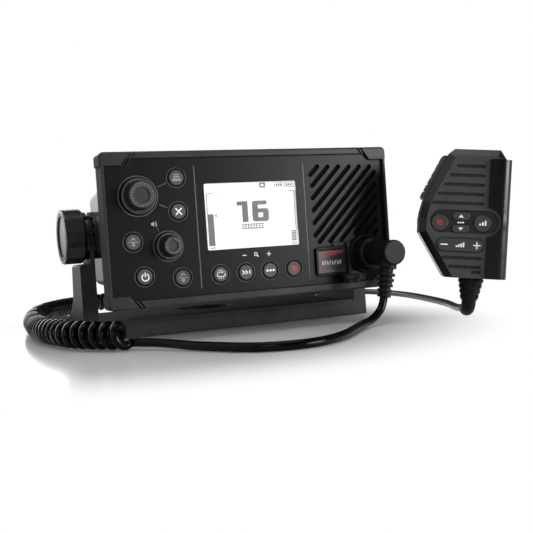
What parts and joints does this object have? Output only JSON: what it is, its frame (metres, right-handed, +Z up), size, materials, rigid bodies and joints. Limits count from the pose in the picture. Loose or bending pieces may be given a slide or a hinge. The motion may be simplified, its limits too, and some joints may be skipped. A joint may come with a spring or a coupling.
{
  "type": "vhf marine radio",
  "caption": "Fixed-mount marine radio in a tilting U bracket, with knobs, keys, a flap, a plugged curly cord and a fist microphone.",
  "frame": {"origin": "on the underside of the bracket's base, straight below the tilt axis, midway between the arms", "axes": "+Z up off the base, +X to the right of the fascia as seen from in front, +Y to the rear"},
  "size_m": [0.3369, 0.4672, 0.113],
  "materials": {
    "dark_frame": "moulded, fine satin texture",
    "panel": "moulded, matt",
    "housing": "die-cast, dark powder coat",
    "bracket_plastic": "moulded, satin",
    "rubber_black": "matt",
    "key_rubber": "matt, printed symbol",
    "lens": "clear",
    "display": "flat",
    "board": "solder resist",
    "steel": "plain",
    "speaker": "paper cone, steel basket",
    "brass_nickel": "nickel plated",
    "gloss_black": "polished",
    "mic_plastic": "moulded, fine texture",
    "clamp_plastic": "moulded, semi-gloss",
    "red": "moulded red"
  },
  "bodies": {
    "bracket": {"bracket": "bracket_plastic", "mic_front_shell": "mic_plastic", "mic_rear_shell": "mic_plastic", "mic_spine": "gloss_black", "mic_board": "board", "mic_hanger": "steel", "mic_screws": "steel", "mic_boot": "rubber_black", "cord_front_lead": "rubber_black", "cord_coil": "rubber_black", "cord_rear_lead": "rubber_black"},
    "radio": {"bezel_frame": "dark_frame", "fascia_panel": "panel", "lcd_lens": "lens", "lcd_module": "display", "keypad_mat": "rubber_black", "front_board": "board", "channel_encoder": "steel", "volume_encoder": "steel", "speaker_driver": "speaker", "mic_socket": "dark_frame", "plug_head": "rubber_black", "plug_boot": "rubber_black", "dust_cap": "rubber_black", "fascia_gasket": "rubber_black", "rear_housing": "housing", "main_board": "board", "housing_screws": "steel", "antenna_socket": "brass_nickel", "gps_socket": "brass_nickel", "data_socket": "brass_nickel", "power_gland": "rubber_black", "friction_washers": "rubber_black"},
    "left_clamp": {"clamp_knob_left": "clamp_plastic", "clamp_stud_left": "steel"},
    "right_clamp": {"clamp_knob_right": "clamp_plastic", "clamp_stud_right": "steel"},
    "channel_push": {"channel_shaft": "steel"},
    "channel_turn": {"channel_knob": "rubber_black"},
    "volume_push": {"volume_shaft": "steel"},
    "volume_turn": {"volume_knob": "rubber_black"},
    "flap": {"distress_flap": "dark_frame"},
    "distress_button": {"distress_key": "red"},
    "coupling_ring": {"plug_ring": "rubber_black"},
    "talk_key": {"mic_ptt": "rubber_black"},
    "volume_rocker": {"mic_rocker": "key_rubber"},
    "key_menu_body": {"key_menu": "key_rubber"},
    "key_close_body": {"key_close": "key_rubber"},
    "key_source_body": {"key_source": "key_rubber"},
    "key_power_body": {"key_power": "key_rubber"},
    "key_mark_body": {"key_mark": "key_rubber"},
    "key_weather_body": {"key_weather": "key_rubber"},
    "key_scan_body": {"key_scan": "key_rubber"},
    "key_watch_body": {"key_watch": "key_rubber"},
    "key_channel_16_body": {"key_channel_16": "key_rubber"},
    "mic_key_16_body": {"mic_key_16": "key_rubber"},
    "mic_key_level_body": {"mic_key_level": "key_rubber"},
    "mic_key_up_body": {"mic_key_up": "key_rubber"},
    "mic_key_down_body": {"mic_key_down": "key_rubber"}
  },
  "joints": [
    {"name": "bracket_tilt", "type": "hinge", "parent": "bracket", "child": "radio", "pos_m": [0, 0, 0.067], "axis": [-1, 0, 0], "range_deg": [0, 20], "deforming": ["cord_front_lead"]},
    {"name": "left_clamp_turn", "type": "hinge", "parent": "radio", "child": "left_clamp", "pos_m": [-0.1, 0, 0.067], "axis": [-1, 0, 0], "continuous": true},
    {"name": "right_clamp_turn", "type": "hinge", "parent": "radio", "child": "right_clamp", "pos_m": [0.1, 0, 0.067], "axis": [1, 0, 0], "continuous": true},
    {"name": "channel_push_in", "type": "slide", "parent": "radio", "child": "channel_push", "axis": [0, 1, 0], "range_m": [0, 0.0008], "stiffness_N_per_m": 1200},
    {"name": "channel_turn", "type": "hinge", "parent": "channel_push", "child": "channel_turn", "pos_m": [-0.0734, -0.066, 0.0869], "axis": [0, -1, 0], "continuous": true},
    {"name": "volume_push_in", "type": "slide", "parent": "radio", "child": "volume_push", "axis": [0, 1, 0], "range_m": [0, 0.0008], "stiffness_N_per_m": 1200},
    {"name": "volume_turn", "type": "hinge", "parent": "volume_push", "child": "volume_turn", "pos_m": [-0.057, -0.066, 0.0567], "axis": [0, -1, 0], "continuous": true},
    {"name": "key_menu_press", "type": "slide", "parent": "radio", "child": "key_menu_body", "axis": [0, 1, 0], "range_m": [0, 0.0008], "stiffness_N_per_m": 400},
    {"name": "key_close_press", "type": "slide", "parent": "radio", "child": "key_close_body", "axis": [0, 1, 0], "range_m": [0, 0.0008], "stiffness_N_per_m": 400},
    {"name": "key_source_press", "type": "slide", "parent": "radio", "child": "key_source_body", "axis": [0, 1, 0], "range_m": [0, 0.0008], "stiffness_N_per_m": 400},
    {"name": "key_power_press", "type": "slide", "parent": "radio", "child": "key_power_body", "axis": [0, 1, 0], "range_m": [0, 0.0008], "stiffness_N_per_m": 400},
    {"name": "key_mark_press", "type": "slide", "parent": "radio", "child": "key_mark_body", "axis": [0, 1, 0], "range_m": [0, 0.0008], "stiffness_N_per_m": 400},
    {"name": "key_weather_press", "type": "slide", "parent": "radio", "child": "key_weather_body", "axis": [0, 1, 0], "range_m": [0, 0.0008], "stiffness_N_per_m": 400},
    {"name": "key_scan_press", "type": "slide", "parent": "radio", "child": "key_scan_body", "axis": [0, 1, 0], "range_m": [0, 0.0008], "stiffness_N_per_m": 400},
    {"name": "key_watch_press", "type": "slide", "parent": "radio", "child": "key_watch_body", "axis": [0, 1, 0], "range_m": [0, 0.0008], "stiffness_N_per_m": 400},
    {"name": "key_channel_16_press", "type": "slide", "parent": "radio", "child": "key_channel_16_body", "axis": [0, 1, 0], "range_m": [0, 0.0008], "stiffness_N_per_m": 400},
    {"name": "flap_lift", "type": "hinge", "parent": "radio", "child": "flap", "pos_m": [0.051, -0.0586, 0.04695], "axis": [-1, 0, 0], "range_deg": [0, 95], "stiffness_Nm_per_rad": 0.002, "springref_deg": -28.65},
    {"name": "distress_press", "type": "slide", "parent": "radio", "child": "distress_button", "axis": [0, 1, 0], "range_m": [0, 0.0012], "stiffness_N_per_m": 400},
    {"name": "coupling_ring_turn", "type": "hinge", "parent": "radio", "child": "coupling_ring", "pos_m": [0.0758, -0.065, 0.0437], "axis": [0, -1, 0], "continuous": true},
    {"name": "mic_key_16_press", "type": "slide", "parent": "bracket", "child": "mic_key_16_body", "axis": [0.5, 0.866, 0], "range_m": [0, 0.0008], "stiffness_N_per_m": 400},
    {"name": "mic_key_level_press", "type": "slide", "parent": "bracket", "child": "mic_key_level_body", "axis": [0.5, 0.866, 0], "range_m": [0, 0.0008], "stiffness_N_per_m": 400},
    {"name": "mic_key_up_press", "type": "slide", "parent": "bracket", "child": "mic_key_up_body", "axis": [0.5, 0.866, 0], "range_m": [0, 0.0008], "stiffness_N_per_m": 400},
    {"name": "mic_key_down_press", "type": "slide", "parent": "bracket", "child": "mic_key_down_body", "axis": [0.5, 0.866, 0], "range_m": [0, 0.0008], "stiffness_N_per_m": 400},
    {"name": "talk_key_press", "type": "slide", "parent": "bracket", "child": "talk_key", "axis": [0.7336, -0.4235, -0.5315], "range_m": [0, 0.0016], "stiffness_N_per_m": 600},
    {"name": "volume_rocker_tip", "type": "hinge", "parent": "bracket", "child": "volume_rocker", "pos_m": [0.11105, -0.11315, 0.04559], "axis": [0.0965, -0.0557, 0.9938], "range_deg": [-3, 3], "stiffness_Nm_per_rad": 0.05}
  ]
}
